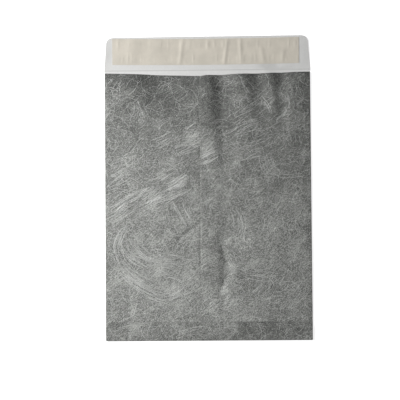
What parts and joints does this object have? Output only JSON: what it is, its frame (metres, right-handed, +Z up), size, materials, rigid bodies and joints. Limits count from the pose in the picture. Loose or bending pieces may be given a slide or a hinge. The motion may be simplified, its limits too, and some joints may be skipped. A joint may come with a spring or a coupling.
{
  "type": "spunbond envelope",
  "caption": "Flat open-end envelope folded from one grey spunbond sheet, with a centre back seam, a folded bottom flap and an open peel-and-seal flap whose adhesive is under a release strip.",
  "frame": {"origin": "centre of the bounding box in X and Y, on the underside that lies on the surface", "axes": "+X across the envelope, to the right as the picture shows it; +Y along it, from the bottom fold to the seal flap; +Z up, out of the back with the seam"},
  "size_m": [0.255, 0.3756, 0.0101],
  "materials": {
    "spunbond_sheet": "matte fibrous sheet, grey outside and white inside",
    "adhesive": "tacky, satin",
    "release_paper": "siliconed paper, low sheen"
  },
  "bodies": {
    "root": {"envelope": "spunbond_sheet", "adhesive_strip": "adhesive", "release_strip": "release_paper"}
  },
  "joints": []
}
